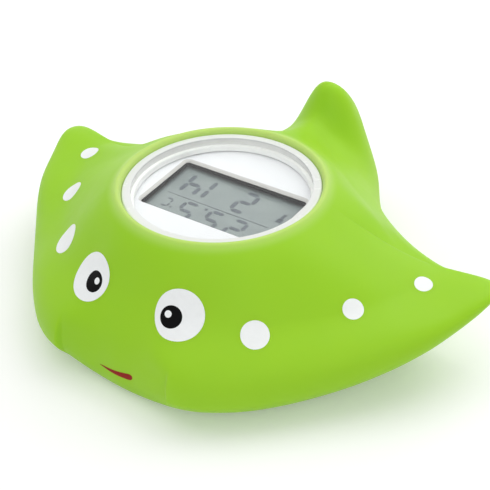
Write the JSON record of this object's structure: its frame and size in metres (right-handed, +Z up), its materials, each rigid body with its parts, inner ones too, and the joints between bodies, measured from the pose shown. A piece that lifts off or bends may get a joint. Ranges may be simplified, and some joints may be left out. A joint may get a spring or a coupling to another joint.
{
  "type": "baby bath thermometer",
  "caption": "Floating soft vinyl ray for the baby's bath, with a round water thermometer and clock display set in its back.",
  "frame": {"origin": "on the surface it stands on, under the centre of the lens, on the outer face of the battery door", "axes": "+Z up along the lens axis, nose towards -Y, tail towards +Y, wings towards -X and +X"},
  "size_m": [0.1246, 0.0957, 0.0389],
  "materials": {
    "green_vinyl": "soft satin vinyl",
    "eye_white_print": "satin ink",
    "dot_print": "satin ink",
    "pupil_print": "satin ink",
    "mouth_print": "satin ink",
    "white_bezel": "gloss",
    "clear_lens": "clear gloss plastic",
    "white_plate": "satin",
    "black_frame": "matt",
    "display_glass": "grey liquid crystal glass",
    "reflector_film": "satin film",
    "contact_rubber": "matt",
    "board_green": "solder mask",
    "chip_resin": "gloss resin",
    "component_tan": "matt",
    "switch_black": "matt",
    "housing_white": "satin moulded plastic",
    "seal_rubber": "matt",
    "plated_steel": "nickel plated",
    "sensor_steel": "stainless steel",
    "tinned_copper": "tinned wire",
    "thermistor_epoxy": "epoxy bead",
    "button_grey": "soft matt"
  },
  "bodies": {
    "float": {"float_body": "green_vinyl", "vent_plug": "seal_rubber", "eye_white_right": "eye_white_print", "eye_white_left": "eye_white_print", "pupil_right": "pupil_print", "pupil_left": "pupil_print", "glint_right": "eye_white_print", "glint_left": "eye_white_print", "dot_right_front": "dot_print", "dot_right_middle": "dot_print", "dot_right_tip": "dot_print", "dot_left_front": "dot_print", "dot_left_middle": "dot_print", "dot_left_tip": "dot_print", "mouth_print": "mouth_print", "bezel_ring": "white_bezel", "lens": "clear_lens", "face_plate": "white_plate", "display_frame": "black_frame", "display_front_glass": "display_glass", "display_rear_glass": "display_glass", "display_reflector": "reflector_film", "contact_strip_front": "contact_rubber", "contact_strip_rear": "contact_rubber", "circuit_board": "board_green", "chip_blob": "chip_resin", "quartz_crystal": "plated_steel", "capacitor_1": "component_tan", "capacitor_2": "component_tan", "mode_switch": "switch_black", "set_switch": "switch_black", "upper_housing": "housing_white", "lower_housing": "housing_white", "module_seal": "seal_rubber", "housing_screw_1": "plated_steel", "housing_screw_2": "plated_steel", "housing_screw_3": "plated_steel", "coin_cell": "plated_steel", "contact_negative": "plated_steel", "contact_positive": "plated_steel", "battery_door": "housing_white", "door_gasket": "seal_rubber", "door_screw_1": "plated_steel", "door_screw_2": "plated_steel", "sensor_cap": "sensor_steel", "thermistor": "thermistor_epoxy", "sensor_lead_1": "tinned_copper", "sensor_lead_2": "tinned_copper"},
    "mode_key": {"mode_button": "button_grey"},
    "set_key": {"set_button": "button_grey"}
  },
  "joints": [
    {"name": "mode_press", "type": "slide", "parent": "float", "child": "mode_key", "axis": [0, 0, 1], "range_m": [0, 0.0008], "stiffness_N_per_m": 300, "springref_m": -0.0006},
    {"name": "set_press", "type": "slide", "parent": "float", "child": "set_key", "axis": [0, 0, 1], "range_m": [0, 0.0008], "stiffness_N_per_m": 300, "springref_m": -0.0006}
  ]
}
